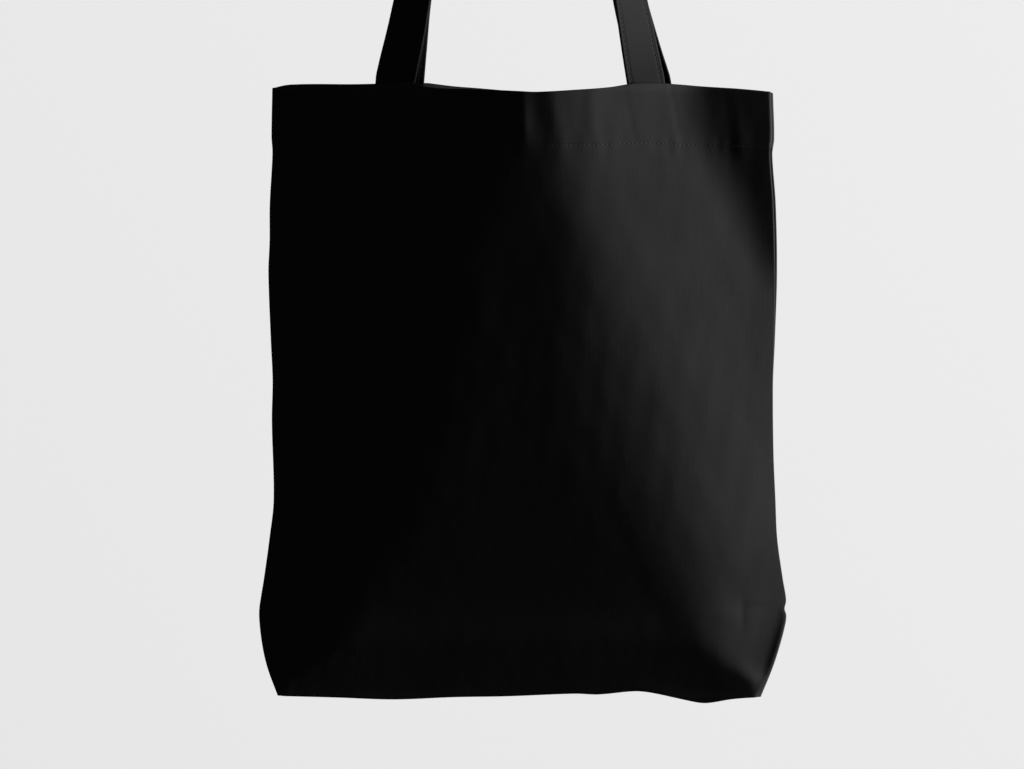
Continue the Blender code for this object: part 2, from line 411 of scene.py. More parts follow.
def ramp(a, start, end):
    """How far a surface has dropped at a, where its slope eases in over start to end."""
    t = (a - start) / (end - start)
    eased = np.where(t < 1, t**3 - t**4 / 2, t - 0.5)
    return np.where(t <= 0, 0.0, (end - start) * eased)


def waves(x, z, seed, length, stretch=1.0):
    """Smooth noise from -1 to 1, of this wavelength; stretch lengthens it along z."""
    random = np.random.default_rng(seed)
    count = 14
    total = np.zeros(np.broadcast(x, z).shape)
    for _ in range(count):
        angle, phase = random.uniform(0, math.pi), random.uniform(0, 2 * math.pi)
        turns = 2 * math.pi / length * random.uniform(0.6, 1.6)
        wave = x * math.cos(angle) + z * math.sin(angle) / stretch
        total = total + np.cos(turns * wave + phase)
    return total * math.sqrt(2 / count) / 2


def folds(kind, x, z, seed):
    height, length, stretch = kind
    return height * waves(x, z, seed, length, stretch)


# The panels' form


def below_tee(depth):
    """0 down to the end of the side seam, and 1 at the bottom."""
    return np.clip((depth - TEE_DEPTH) / (BODY_HEIGHT - TEE_DEPTH), 0, 1)


def pleat_bow(depth):
    """How far the fold beside the gusset bows, from 0 to 1 and back."""
    return np.sin(math.pi * below_tee(depth)) ** 0.5


def half_width(side, hand, depth):
    """Of one side's panel; below the side seam the front edge stands a little in."""
    width = loft(LEFT_WIDTHS if hand < 0 else RIGHT_WIDTHS, depth)[0]
    inset = FRONT_INSETS[hand] * pleat_bow(depth)
    if hand > 0:
        inset = inset + BACK_STRIP * (1 - ease((depth - STRIP_DEPTH) / STRIP_FADE))
    return width - (inset if side < 0 else 0)


def roll_radius(depth):
    """Of the cloth's turn at the side, fatter where the hem and bottom are doubled."""
    hem = 1 - ease((depth - HEM_HEIGHT) / HEM_ROLL_FADE)
    bottom = ease((depth - BODY_HEIGHT + BOTTOM_ROLL) / BOTTOM_ROLL_GROWTH)
    return EDGE_ROLL + LAYER * (hem + bottom) + PLEAT_ROLL * pleat_bow(depth)


def bulge(u, depth):
    """The panel's distance from the bag's middle plane, before its creases."""
    edge = EDGE_ROLL + 2 * roll_radius(depth) + CORNER_OFFSET * below_tee(depth)
    middle, start, full, flange = loft(SECTIONS, depth)

    def drop(a):
        flat = ramp(a, flange, flange + FLANGE) * FLANGE_FLATNESS
        return ramp(a, start, full) - flat

    return edge + (middle - edge) * (1 - drop(np.abs(u)) / drop(np.ones_like(u)))


def strap_x(side, hand, depth):
    """How far out the middle of a sewn strap end is."""
    return STRAP_SPACING + LEGS[side, hand][2] + math.tan(STRAP_LEAN) * depth


def strap_print(side, x, depth):
    """How far the sewn strap ends push the hem out, with a groove beside each."""
    half = STRAP_WIDTH / 2 / math.cos(STRAP_LEAN)
    middle = np.where(x < 0, strap_x(side, -1, depth), strap_x(side, 1, depth))
    beside = np.abs(x) - middle - half
    inside = 1 - ease((np.abs(beside + half) - half + PRINT_START) / PRINT_SLOPE)
    groove = bell((beside - PRINT_GROOVE_OUT) / PRINT_GROOVE_WIDTH)
    out = PRINT_HEIGHT * inside - PRINT_GROOVE * groove
    return out * (1 - ease((depth - STRAP_END) / PRINT_FADE))


def relief(side, u, x, depth):
    """Folds, creases and puckers that stand out from the panel's form."""
    seed = 10 if side < 0 else 30
    start = np.maximum(loft(SECTIONS, depth)[1], 0)
    slope = ease((np.abs(u) - start + TAUT_EDGE) / TAUT_FADE)
    inner = 1 - ease((np.abs(u) - FOLDS_END) / (1 - FOLDS_END))
    inner = inner * (TAUT_SHARE + (1 - TAUT_SHARE) * slope)
    out = folds(LONG_FOLDS, x, depth, seed) * inner
    out += folds(SHORT_FOLDS, x, depth, seed + 1) * inner
    out += folds(FINE_FOLDS, x, depth, seed + 2)
    from_stitches = depth - HEM_STITCH_DEPTH
    out -= HEM_GROOVE * bell(from_stitches / HEM_GROOVE_WIDTH)
    out += folds(PUCKERS, x, 0.0, seed + 3) * bell(from_stitches / PUCKER_REACH) * inner
    out += strap_print(side, x, depth)
    if side < 0:
        for across, at, width, length, height, lean in CREASES:
            along = x - across - lean * (depth - at)
            out += height * bell(along / width) * bell((depth - at) / length)
    ridge = bell((depth - TEE_DEPTH + RIDGE_CREASE_RISE) / RIDGE_CREASE_WIDTH)
    out += RIDGE_CREASE * ridge * ease((np.abs(u) - RIDGE_CREASE_START) / RIDGE_CREASE_GROWTH)
    from_edge = (1 - np.abs(u)) * ROUGH_HALF_WIDTH
    out += LIP * bell(from_edge / LIP_WIDTH) * pleat_bow(depth)
    return out


def fall(side, x, depth):
    """How far the cloth hangs below its level, at the mouth and at the bottom."""
    sag = loft(MOUTH_SAG if side < 0 else BACK_MOUTH_SAG, x)[0]
    wave = loft(BOTTOM_WAVE, x)[0] * (1 if side < 0 else BACK_WAVE)
    top = 1 - ease(depth / SAG_FADE)
    bottom = ease((depth - BODY_HEIGHT + WAVE_FADE) / WAVE_FADE)
    return sag * top + wave * bottom


def flat_half(side, x_or_u, depth):
    """From the middle to where the roll at the side seam starts, left or right."""
    left = half_width(side, -1, depth) - roll_radius(depth)
    right = half_width(side, 1, depth) - roll_radius(depth)
    return np.where(x_or_u < 0, left, right)


def panel_surface(side, u, depth):
    """Middle of the panel's cloth; u is 1 where the roll at the side seam starts."""
    x = u * flat_half(side, u, depth)
    out = bulge(u, depth) + relief(side, u, x, depth)
    z = MOUTH_Z - MOUTH_DROP - depth * HEIGHT_SHARE - fall(side, x, depth)
    return np.stack([x, side * out, z], -1)


def normals_of(grid, towards):
    """Unit normals of a grid of points, facing the side that towards says."""
    across = np.gradient(grid, axis=1)
    down = np.gradient(grid, axis=0)
    normal = unit(np.cross(across, down))
    middle = normal[normal.shape[0] // 2, normal.shape[1] // 2]
    return normal if middle @ np.array(towards, float) > 0 else -normal


def panel_depths():
    rows = [spread(start, end, step)[:-1] for start, end, step in ROWS]
    return np.concatenate([*rows, [ROWS[-1][1]]]) * MM


class Cloth:
    """One panel's outer layer as a grid, with the place of any point on it."""

    def __init__(self, side):
        self.side = side
        self.depths = panel_depths()
        inner = np.linspace(-EDGE_SHARE, EDGE_SHARE, COLUMNS)
        edge = np.linspace(EDGE_SHARE, 1.0, EDGE_COLUMNS)[1:]
        self.us = np.concatenate([-edge[::-1], inner, edge])
        u, depth = np.meshgrid(self.us, self.depths)
        self.flat = panel_surface(side, u, depth)
        self.normals = normals_of(self.flat, (0, side, 0))

    def at(self, u, depth, out=0.0):
        """(points, normals) at these places, out from the middle of the cloth."""
        u, depth = np.broadcast_arrays(np.asarray(u, float), np.asarray(depth, float))
        i = np.clip(np.searchsorted(self.depths, depth) - 1, 0, len(self.depths) - 2)
        j = np.clip(np.searchsorted(self.us, u) - 1, 0, len(self.us) - 2)
        down = ((depth - self.depths[i]) / (self.depths[i + 1] - self.depths[i]))[..., None]
        across = ((u - self.us[j]) / (self.us[j + 1] - self.us[j]))[..., None]
        found = []
        for grid in (self.flat, self.normals):
            upper = grid[i, j] * (1 - across) + grid[i, j + 1] * across
            lower = grid[i + 1, j] * (1 - across) + grid[i + 1, j + 1] * across
            found.append(upper * (1 - down) + lower * down)
        normal = unit(found[1])
        return found[0] + normal * out, normal

    def share(self, x, depth):
        """The u of a point this far across, in metres."""
        x, depth = np.broadcast_arrays(np.asarray(x, float), np.asarray(depth, float))
        return x / flat_half(self.side, x, depth)

    def with_rolls(self):
        """The grid with its side edges rolled in and tucked into the seams."""
        radius = roll_radius(self.depths)[:, None, None]
        turns = np.linspace(0, math.pi, 9)[1:]
        tucks = np.array([0.6, 1.2]) * MM
        across, back = np.array([1.0, 0, 0]), np.array([0, -self.side, 0])
        sides = []
        for hand, edge in ((-1, self.flat[:, :1]), (1, self.flat[:, -1:])):
            turned = [
                edge + radius * (hand * math.sin(turn) * across + (1 - math.cos(turn)) * back)
                for turn in turns
            ]
            turned += [turned[-1] - hand * tuck * across for tuck in tucks]
            sides.append(turned if hand > 0 else turned[::-1])
        return np.concatenate([*sides[0], self.flat, *sides[1]], axis=1)


def turned_in(edge, normals, away, angles):
    """Rows of the cloth's half turn at an edge, away from the panel and back inside."""
    radius = LAYER / 2
    return [
        edge + radius * (normals * (math.cos(angle) - 1) + away * math.sin(angle)) for angle in angles
    ]


def sheet_rows(grid, normals, depths):
    """The whole sheet: hem turned in, mouth fold, panel, bottom fold, its lip."""
    up = np.array([0, 0, 1.0])
    lip_start, lip_end = BODY_HEIGHT - BOTTOM_LIP, BODY_HEIGHT - MM
    hem = [i for i, depth in enumerate(depths) if HEM_START < depth <= HEM_HEIGHT]
    lip = [i for i, depth in enumerate(depths) if lip_start < depth < lip_end]
    rows = [grid[i] - normals[i] * LAYER for i in reversed(hem)]
    rows += turned_in(grid[0], normals[0], up, np.linspace(math.pi, 0, 7)[:-1])
    rows += list(grid)
    rows += turned_in(grid[-1], normals[-1], -up, np.linspace(0, math.pi, 7)[1:])
    rows += [grid[i] - normals[i] * LAYER for i in reversed(lip)]
    return np.stack(rows)


# Meshes


def add_object(name, mesh, material):
    obj = bpy.data.objects.new(name, mesh)
    bpy.context.scene.collection.objects.link(obj)
    mesh.materials.append(material)
    mesh.shade_smooth()
    return obj


def make_mesh(name, points, faces, uv, wear=None):
    """A mesh with its flat cloth's UV map and, if given, how worn each point is."""
    mesh = bpy.data.meshes.new(name)
    mesh.from_pydata(points.reshape(-1, 3).tolist(), [], faces)
    layer = mesh.uv_layers.new(name="cloth")
    index = np.empty(len(mesh.loops), np.int32)
    mesh.loops.foreach_get("vertex_index", index)
    layer.data.foreach_set("uv", uv.reshape(-1, 2)[index].astype(np.float32).ravel())
    if wear is not None:
        attribute = mesh.attributes.new("wear", "FLOAT", "POINT")
        attribute.data.foreach_set("value", wear.astype(np.float32).ravel())
    mesh.validate()
    return mesh


def quads(rows, columns, first, flip):
    """Faces of a grid of points that starts at this index."""
    i, j = np.meshgrid(np.arange(rows - 1), np.arange(columns - 1), indexing="ij")
    corner = first + i * columns + j
    corners = [corner, corner + 1, corner + columns + 1, corner + columns]
    if flip:
        corners.reverse()
    return np.stack([c.ravel() for c in corners], 1)


def flat_lengths(grid):
    """Where each point of a sheet was on the flat cloth, in metres."""
    across = np.linalg.norm(np.diff(grid, axis=1), axis=-1).cumsum(1)
    down = np.linalg.norm(np.diff(grid, axis=0), axis=-1).cumsum(0)
    u = np.concatenate([np.zeros((len(grid), 1)), across], 1)
    v = np.concatenate([np.zeros((1, grid.shape[1])), down], 0)
    u = u - u[:, u.shape[1] // 2, None]
    return np.stack([u, v], -1)


def shell(name, grid, thickness, material, towards, wear=None):
    """A sheet of this thickness around a grid of points, with a round rim."""
    rows, columns = grid.shape[:2]
    normal = normals_of(grid, towards)
    uv = flat_lengths(grid)
    wear = np.zeros((rows, columns)) if wear is None else wear
    half = thickness / 2
    rim = [(0, j) for j in range(columns)]
    rim += [(i, columns - 1) for i in range(1, rows)]
    rim += [(rows - 1, j) for j in range(columns - 2, -1, -1)]
    rim += [(i, 0) for i in range(rows - 2, 0, -1)]
    ri, rj = np.array(rim).T
    inner_i, inner_j = np.clip(ri, 1, rows - 2), np.clip(rj, 1, columns - 2)
    outwards = unit(grid[ri, rj] - grid[inner_i, inner_j])
    turns = np.radians((45, 90, 135))
    rings = [
        grid[ri, rj] + half * (normal[ri, rj] * math.cos(turn) + outwards * math.sin(turn))
        for turn in turns
    ]
    points = [grid + normal * half, grid - normal * half, *rings]
    uvs = [uv, uv, *[uv[ri, rj]] * len(turns)]
    wears = [wear, wear, *[wear[ri, rj]] * len(turns)]
    count, length = rows * columns, len(rim)
    turned = normal[0, 0] @ np.cross(grid[0, 1] - grid[0, 0], grid[1, 0] - grid[0, 0]) < 0
    faces = [quads(rows, columns, 0, turned), quads(rows, columns, count, not turned)]
    loops = [ri * columns + rj]
    loops += [2 * count + k * length + np.arange(length) for k in range(len(turns))]
    loops += [count + ri * columns + rj]
    for upper, lower in zip(loops, loops[1:]):
        band = np.stack([upper, lower, np.roll(lower, -1), np.roll(upper, -1)], 1)
        faces.append(band[:, ::-1] if turned else band)
    mesh = make_mesh(
        name,
        np.concatenate([part.reshape(-1, 3) for part in points]),
        np.concatenate(faces).tolist(),
        np.concatenate([part.reshape(-1, 2) for part in uvs]),
        np.concatenate([part.ravel() for part in wears]),
    )
    return add_object(name, mesh, material)


def stitch_run(points, normals):
    """Stitches along a line on cloth, as (points, faces, uv) of thread humps."""
    along = travelled(points)
    count = max(1, int(along[-1] / STITCH_PITCH))
    start = (along[-1] - count * STITCH_PITCH) / 2 + STITCH_PITCH / 2
    places = start + STITCH_PITCH * np.arange(count)
    shares = np.linspace(-0.5, 0.5, 6)
    at = places[:, None] + shares * STITCH_LENGTH
    centre = np.stack([np.interp(at, along, points[:, k]) for k in range(3)], -1)
    normal = unit(np.stack([np.interp(at, along, normals[:, k]) for k in range(3)], -1))
    tangent = unit(np.gradient(centre, axis=1))
    across = unit(np.cross(normal, tangent))
    # A stitch is thin and deep at its ends, and flattened where it lies on the cloth
    arch = np.sqrt(np.clip(1 - (2 * shares) ** 2, 0, 1))
    radius = THREAD / 2 * (0.35 + 0.65 * arch)
    lift = THREAD * (arch - 1) * 0.9
    turns = np.linspace(0, 2 * math.pi, 7)[:-1]
    wide = across[:, :, None] * np.cos(turns)[:, None] * 1.15
    high = normal[:, :, None] * np.sin(turns)[:, None] * 0.9
    tube = (centre + normal * lift[:, None])[:, :, None] + (wide + high) * radius[:, None, None]
    rings, sides = len(shares), len(turns)
    first = np.arange(count)[:, None, None] * rings * sides
    i, j = np.arange(rings - 1)[:, None], np.arange(sides)
    a, b = i * sides + j, i * sides + (j + 1) % sides
    faces = np.stack([a, b, b + sides, a + sides], -1)[None] + first[..., None]
    ends = []
    for ring, order in ((0, -1), (rings - 1, 1)):
        cap = (ring * sides + np.arange(sides))[::order]
        ends += (cap[None] + np.arange(count)[:, None] * rings * sides).tolist()
    v = np.broadcast_to(at[:, :, None], tube.shape[:3])
    u = np.broadcast_to(turns / (2 * math.pi), tube.shape[:3])
    uv = np.stack([u, v], -1).reshape(-1, 2)
    return tube.reshape(-1, 3), faces.reshape(-1, 4).tolist() + ends, uv


def stitching(name, runs, material):
    """One object of several runs of stitches, each a line with its normals."""
    points, faces, uvs, first = [], [], [], 0
    for line, normals in runs:
        run_points, run_faces, run_uv = stitch_run(line, normals)
        points.append(run_points)
        faces += [[first + i for i in face] for face in run_faces]
        uvs.append(run_uv)
        first += len(run_points)
    mesh = make_mesh(name, np.concatenate(points), faces, np.concatenate(uvs))
    return add_object(name, mesh, material)


# Materials


class Nodes:
    """A short way to write a material's nodes and links."""

    def __init__(self, tree):
        self.tree = tree

    def add(self, kind, inputs=(), **settings):
        node = self.tree.nodes.new("ShaderNode" + kind)
        for key, value in settings.items():
            setattr(node, key, value)
        for key, value in dict(inputs).items():
            socket = node.inputs[key]
            if isinstance(value, bpy.types.NodeSocket):
                self.tree.links.new(value, socket)
            else:
                socket.default_value = value
        return node

    def math(self, operation, a, b=0.0, clamp=False):
        node = self.add("Math", {0: a, 1: b}, operation=operation, use_clamp=clamp)
        return node.outputs[0]

    def total(self, first, *parts, clamp=False):
        """The first value plus each part's value times its weight."""
        for number, (value, weight) in enumerate(parts, 1):
            weighed = self.math("MULTIPLY", value, weight)
            first = self.math("ADD", first, weighed, clamp and number == len(parts))
        return first


def new_material(name):
    material = bpy.data.materials.new(name)
    material.use_nodes = True
    tree = material.node_tree
    shader = tree.nodes["Principled BSDF"]
    return material, shader, Nodes(tree)


def shaded(base, factor):
    return (*(channel * factor for channel in base), 1.0)


def canvas_material(name, base, seed):
    """Black cotton canvas: plain weave with uneven yarns, a matt face and soft wear."""
    material, shader, n = new_material(name)
    flat = n.add("UVMap", uv_map="cloth").outputs["UV"]
    split = n.add("SeparateXYZ", {0: flat})
    turn = math.pi / WEAVE_PITCH
    # Yarns wander a little from straight
    drift = n.add("TexNoise", {"Vector": flat, "Scale": 55.0 + seed, "Detail": 2.0})
    sway = n.math("MULTIPLY", n.math("SUBTRACT", drift.outputs["Fac"], 0.5), 2.4)
    warp = n.math("SINE", n.total(sway, (split.outputs["X"], turn)))
    weft = n.math("SINE", n.total(sway, (split.outputs["Y"], turn)))
    over = n.math("MULTIPLY", n.math("MULTIPLY", warp, weft), 0.5)
    ribs = n.math("MAXIMUM", n.math("ABSOLUTE", warp), n.math("ABSOLUTE", weft))
    # Thick and thin yarns, both ways
    slubs = []
    for scale, shift in (((1100, 26, 1), 0.0), ((26, 1100, 1), 7.0)):
        place = n.add("Mapping", {"Vector": flat, "Scale": scale, "Location": (shift, seed, 0)})
        noise = n.add("TexNoise", {"Vector": place.outputs[0], "Scale": 1.0, "Detail": 2.0})
        slubs.append(noise.outputs["Fac"])
    slub = n.math("ADD", *slubs)
    fuzz = n.add("TexNoise", {"Vector": flat, "Scale": 2600.0, "Detail": 3.0}).outputs["Fac"]
    height = n.total(over, (ribs, 0.5), (slub, 0.9), (fuzz, 0.6))
    bump = n.add("Bump", {"Height": height, "Strength": 0.32, "Distance": 0.16 * MM})
    # Colour: uneven dye, lighter yarn crowns, wear on the folds
    dye = n.add("TexNoise", {"Vector": flat, "Scale": 14.0, "Detail": 4.0}).outputs["Fac"]
    wear = n.add("Attribute", attribute_name="wear").outputs["Fac"]
    rubbed = n.math("MULTIPLY", wear, n.math("ADD", fuzz, 0.2))
    tone = n.total(n.math("MULTIPLY", dye, 0.5), (slub, 0.25), (rubbed, 0.9), clamp=True)
    shades = {"Factor": tone, "A": shaded(base, 0.72), "B": shaded(base, 1.55)}
    colour = n.add("Mix", shades, data_type="RGBA")
    links = material.node_tree.links
    links.new(colour.outputs["Result"], shader.inputs["Base Color"])
    rough = n.math("ADD", n.math("MULTIPLY", fuzz, 0.12), 0.84)
    links.new(rough, shader.inputs["Roughness"])
    links.new(bump.outputs[0], shader.inputs["Normal"])
    shader.inputs["Specular IOR Level"].default_value = 0.12
    shader.inputs["Sheen Weight"].default_value = 0.03
    shader.inputs["Sheen Roughness"].default_value = 0.45
    return material


def thread_material(name, base):
    """Black cotton thread, its twist as a slanting bump."""
    material, shader, n = new_material(name)
    flat = n.add("UVMap", uv_map="cloth").outputs["UV"]
    split = n.add("SeparateXYZ", {0: flat})
    along = n.total(split.outputs["X"], (split.outputs["Y"], 1 / THREAD_TWIST))
    twist = n.math("SINE", n.math("MULTIPLY", along, 2 * math.pi))
    fuzz = n.add("TexNoise", {"Vector": flat, "Scale": 900.0, "Detail": 2.0}).outputs["Fac"]
    height = n.math("ADD", twist, fuzz)
    bump = n.add("Bump", {"Height": height, "Strength": 0.5, "Distance": 0.05 * MM})
    tone = n.total(fuzz, (twist, 0.2), clamp=True)
    shades = {"Factor": tone, "A": shaded(base, 0.7), "B": shaded(base, 1.3)}
    colour = n.add("Mix", shades, data_type="RGBA")
    links = material.node_tree.links
    links.new(colour.outputs["Result"], shader.inputs["Base Color"])
    links.new(bump.outputs[0], shader.inputs["Normal"])
    shader.inputs["Roughness"].default_value = 0.7
    shader.inputs["Specular IOR Level"].default_value = 0.25
    shader.inputs["Sheen Weight"].default_value = 0.03
    return material


canvas = canvas_material("black_canvas", CANVAS_BLACK, 0.0)
# A darker copy of the canvas for the straps: painted shade
shaded_strap_canvas = canvas_material("black_strap_canvas_painted_shade", STRAP_SHADED_BLACK, 3.0)
thread = thread_material("black_thread", THREAD_BLACK)
# A darker copy of the thread for the straps: painted shade
shaded_strap_thread = thread_material("black_strap_thread_painted_shade", STRAP_THREAD_SHADED_BLACK)
cloths = {side: Cloth(side) for _, side in SIDES}


# The bag's pieces


def fix_to_bag(obj, slot, *nodes):
    """The piece rides on the bag and stands for these nodes."""
    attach(obj, "bag")
    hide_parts(*nodes)


def panel_wear(grid):
    """More wear where the cloth is folded: at the mouth, the bottom and the sides."""
    x, depth = grid[..., 0], MOUTH_Z - grid[..., 2]
    mouth = bell(np.clip(depth - 4 * MM, 0, None) / (1.6 * MM))
    bottom = bell((BODY_HEIGHT - depth) / (2.0 * MM))
    reach = np.abs(x) - np.abs(x).max(axis=1, keepdims=True)
    side = bell(reach / (1.2 * MM))
    return PANEL_WEAR * np.clip(mouth + bottom + side, 0, 1)


def make_panel(name, side):
    cloth = cloths[side]
    grid = cloth.with_rolls()
    rows = sheet_rows(grid, normals_of(grid, (0, side, 0)), cloth.depths)
    panel = shell(name + "_panel_cloth", rows, CLOTH, canvas, (0, side, 0), panel_wear(rows))
    fix_to_bag(panel, "canvas", name + "_panel", name + "_hem")
    return panel


def make_hem_stitching(name, side):
    """Seen outside, and inside a little higher, through the turned hem."""
    cloth = cloths[side]
    u = np.linspace(-EDGE_SHARE, EDGE_SHARE, 400)
    wander = waves(u * ROUGH_HALF_WIDTH, 0.0, 80 + side, 0.04)
    depth = HEM_STITCH_DEPTH + HEM_STITCH_WANDER * wander
    outer_level = CLOTH / 2 + THREAD * 0.22
    inner_level = -(LAYER + CLOTH / 2 + THREAD * 0.35)
    outside, normals = cloth.at(u, depth, outer_level)
    inside, _ = cloth.at(u, depth - INNER_STITCH_RISE, inner_level)
    stitches = stitching(name + "_hem_thread", [(outside, normals), (inside, -normals)], thread)
    fix_to_bag(stitches, "thread", name + "_hem_stitching")


def make_end_stitching(name, side, hand):
    """A sewn box with a cross in it, on the strap's inner face."""
    cloth = cloths[side]
    half = STRAP_WIDTH / 2 - EDGE_STITCH
    top, bottom = 4 * MM, STRAP_END - 3.5 * MM
    corners = ((-1, top), (1, top), (1, bottom), (-1, bottom))
    lines = list(zip(corners, corners[1:] + corners[:1]))
    lines += [(corners[0], corners[2]), (corners[1], corners[3])]
    level = -(1.5 * LAYER + STRAP_THICKNESS + THREAD * 0.35)
    along = np.linspace(0, 1, 24)
    runs = []
    for (start_across, start_depth), (end_across, end_depth) in lines:
        depth = start_depth + (end_depth - start_depth) * along
        across = start_across + (end_across - start_across) * along
        x = hand * (strap_x(side, hand, depth) + across * half)
        points, normals = cloth.at(cloth.share(x, depth), depth, level)
        runs.append((points, -normals))
    stitches = stitching(name + "_thread", runs, thread)
    fix_to_bag(stitches, "thread", name + "_stitching")


def gusset_grid():
    """The pleat: up from the front fold to its ridge, and down to the back."""
    u = np.linspace(-0.998, 0.998, 150)
    slope = np.linspace(0.08, 1, 38)
    shares = np.concatenate([-slope[::-1], np.linspace(-0.06, 0.06, 7), slope])
    bottom = BODY_HEIGHT - GUSSET_RAISE
    rows = []
    for share in shares:
        side = -1 if share < 0 else 1
        edge, _ = cloths[side].at(u, bottom, -(LAYER + CLOTH))
        x, y, z = edge.T
        height = np.sqrt(np.clip(GUSSET_HALF**2 - y**2, 0, None))
        from_ridge = abs(share)
        rounded = math.hypot(from_ridge, RIDGE_ROUNDING)
        up = height * (1 - min(1.0, rounded))
        sag = GUSSET_SAG * waves(x, up, 50, 0.07) * math.sin(math.pi * from_ridge)
        depth = bottom - up
        narrower = np.where(
            u < 0,
            half_width(side, -1, depth) / half_width(side, -1, bottom),
            half_width(side, 1, depth) / half_width(side, 1, bottom),
        )
        off_fold = ease(up / (8 * MM))
        out = y * from_ridge + sag * SAG_OUT
        rows.append(np.stack([x * narrower, out, z + up + sag * SAG_UP * off_fold], -1))
    return np.stack(rows)


def make_gusset():
    gusset = shell("bottom_gusset_cloth", gusset_grid(), CLOTH, canvas, (0, 0, -1))
    fix_to_bag(gusset, "canvas", "bottom_gusset")
    return gusset


def make_side_seam(name, hand):
    """The two edges of cloth, overlocked together inside the bag."""
    depths = spread(0.5 * MM, TEE_DEPTH - 4 * MM, 3 * MM)
    outer = half_width(1, hand, depths) - roll_radius(depths) - SEAM_INSET
    lengths = np.linspace(0, SEAM_WIDTH, 7)
    x = hand * (outer[:, None] - lengths)
    ripple = SEAM_RIPPLE * waves(0.0, depths[:, None], 60 + hand, 0.03)
    y = ripple * (lengths / SEAM_WIDTH) ** 2
    edge = panel_surface(1, np.full_like(depths, hand), depths)
    z = np.broadcast_to(edge[:, 2, None], x.shape)
    grid = np.stack([x, y, z], -1)
    seam = shell(name + "_side_seam_cloth", grid, SEAM_THICKNESS, canvas, (0, -1, 0))
    fix_to_bag(seam, "canvas", name + "_side_seam")
    line = grid[:, 2]
    runs = []
    for face in (-1, 1):
        normals = np.tile([0.0, face, 0], (len(line), 1))
        runs.append((line + normals * SEAM_THREAD_OUT, normals))
    stitches = stitching(name + "_seam_thread", runs, thread)
    fix_to_bag(stitches, "thread", name + "_seam_stitching")
    return seam


# The handles


def sewn_end(side, hand):
    """(centre, width direction, normal) of each row of a sewn end, from its foot up."""
    cloth = cloths[side]
    width = np.array([-1.0, 0.0, 1.0]) * STRAP_WIDTH / 2 / math.cos(STRAP_LEAN)
    rows = []
    for depth in spread(STRAP_END, 1.5 * MM, 2.2 * MM):
        x = hand * strap_x(side, hand, depth) + width
        points, normals = cloth.at(cloth.share(x, depth), depth, STRAP_LAYER)
        rows.append((points.mean(0), unit(points[2] - points[0]), normals[1]))
    return rows


def leg_rows(side, hand):
    """The same for a leg and its half of the arc over the hanger, from the mouth up."""
    cloth = cloths[side]
    mouth, _ = cloth.at(cloth.share(hand * strap_x(side, hand, 0.0), 0.0), 0.0, STRAP_LAYER)
    tilt, power, shift, bent = LEGS[side, hand]
    shifts = ((0, shift), (LEG_BEND, bent), (LEG_EVEN, 0), (LEG_FAR, 0))
    lean_cos, lean_sin = math.cos(STRAP_LEAN), math.sin(STRAP_LEAN)
    leg_x, mouth_y = abs(mouth[0]) - shift, abs(mouth[1])
    run = leg_x - HANGER_RADIUS * lean_cos
    rise = run / math.tan(STRAP_LEAN)
    leg = math.hypot(run, rise)
    arc = HANGER_RADIUS * (math.pi / 2 - STRAP_LEAN)
    # The leg is stretched so that the loop's underside meets the hanger at the origin
    top = MOUTH_Z + rise + HANGER_RADIUS * (1 - lean_sin)
    stretch = (rise + STRAP_THICKNESS / 2 - top) / rise
    rows = []
    # Closer rows where the strap bends at the mouth
    near = spread(1.6 * MM, FOLD_REACH + 4 * MM, 0.6 * MM)
    far = spread(FOLD_REACH + 4 * MM, leg + arc, 2.1 * MM)
    for along in np.concatenate([near[:-1], far]):
        angle = STRAP_LEAN + max(0.0, along - leg) / HANGER_RADIUS
        if along <= leg:
            x, z = leg_x - along * lean_sin, along * lean_cos
        else:
            x = HANGER_RADIUS * math.cos(angle)
            z = rise + HANGER_RADIUS * (math.sin(angle) - lean_sin)
        z += min(z, rise) * (stretch - 1)
        tangent = np.array([-hand * math.sin(angle), 0, math.cos(angle)])
        outward = np.array([hand * math.cos(angle), 0, math.sin(angle)])
        slide = min(1.0, along / leg)
        turn = tilt + (math.pi / 2 - tilt) * slide**power
        normal = np.array([0, side, 0]) * math.cos(turn) + outward * math.sin(turn)
        x += float(loft(shifts, along)[0])
        y = side * (mouth_y + (HANDLE_SIDE - mouth_y) * slide)
        rows.append((np.array([hand * x, y, MOUTH_Z + z]), np.cross(tangent, normal), normal))
    return rows


def smooth_along(values, passes):
    for _ in range(passes):
        inner = (values[:-2] + 2 * values[1:-1] + values[2:]) / 4
        values = np.concatenate([values[:1], inner, values[-1:]])
    return values


def strap_path(side):
    """(centres, width directions, outward normals) from sewn end to sewn end."""
    left, right = (sewn_end(side, hand) + leg_rows(side, hand) for _, hand in HANDS)
    centres, acrosses, normals = (np.array(column) for column in zip(*left, *right[-2::-1]))
    # All the width directions point the same way round the loop
    for k in range(1, len(acrosses)):
        if acrosses[k] @ acrosses[k - 1] < 0:
            acrosses[k] *= -1
    centres = smooth_along(centres, 8)
    acrosses = smooth_along(acrosses, 10)
    tangent = unit(np.gradient(centres, axis=0))
    acrosses = unit(acrosses - (acrosses * tangent).sum(1, keepdims=True) * tangent)
    crossed = unit(np.cross(tangent, acrosses))
    facing = np.sign((crossed * normals).sum(1))
    crossed *= facing[len(facing) // 4]
    return centres, acrosses, crossed


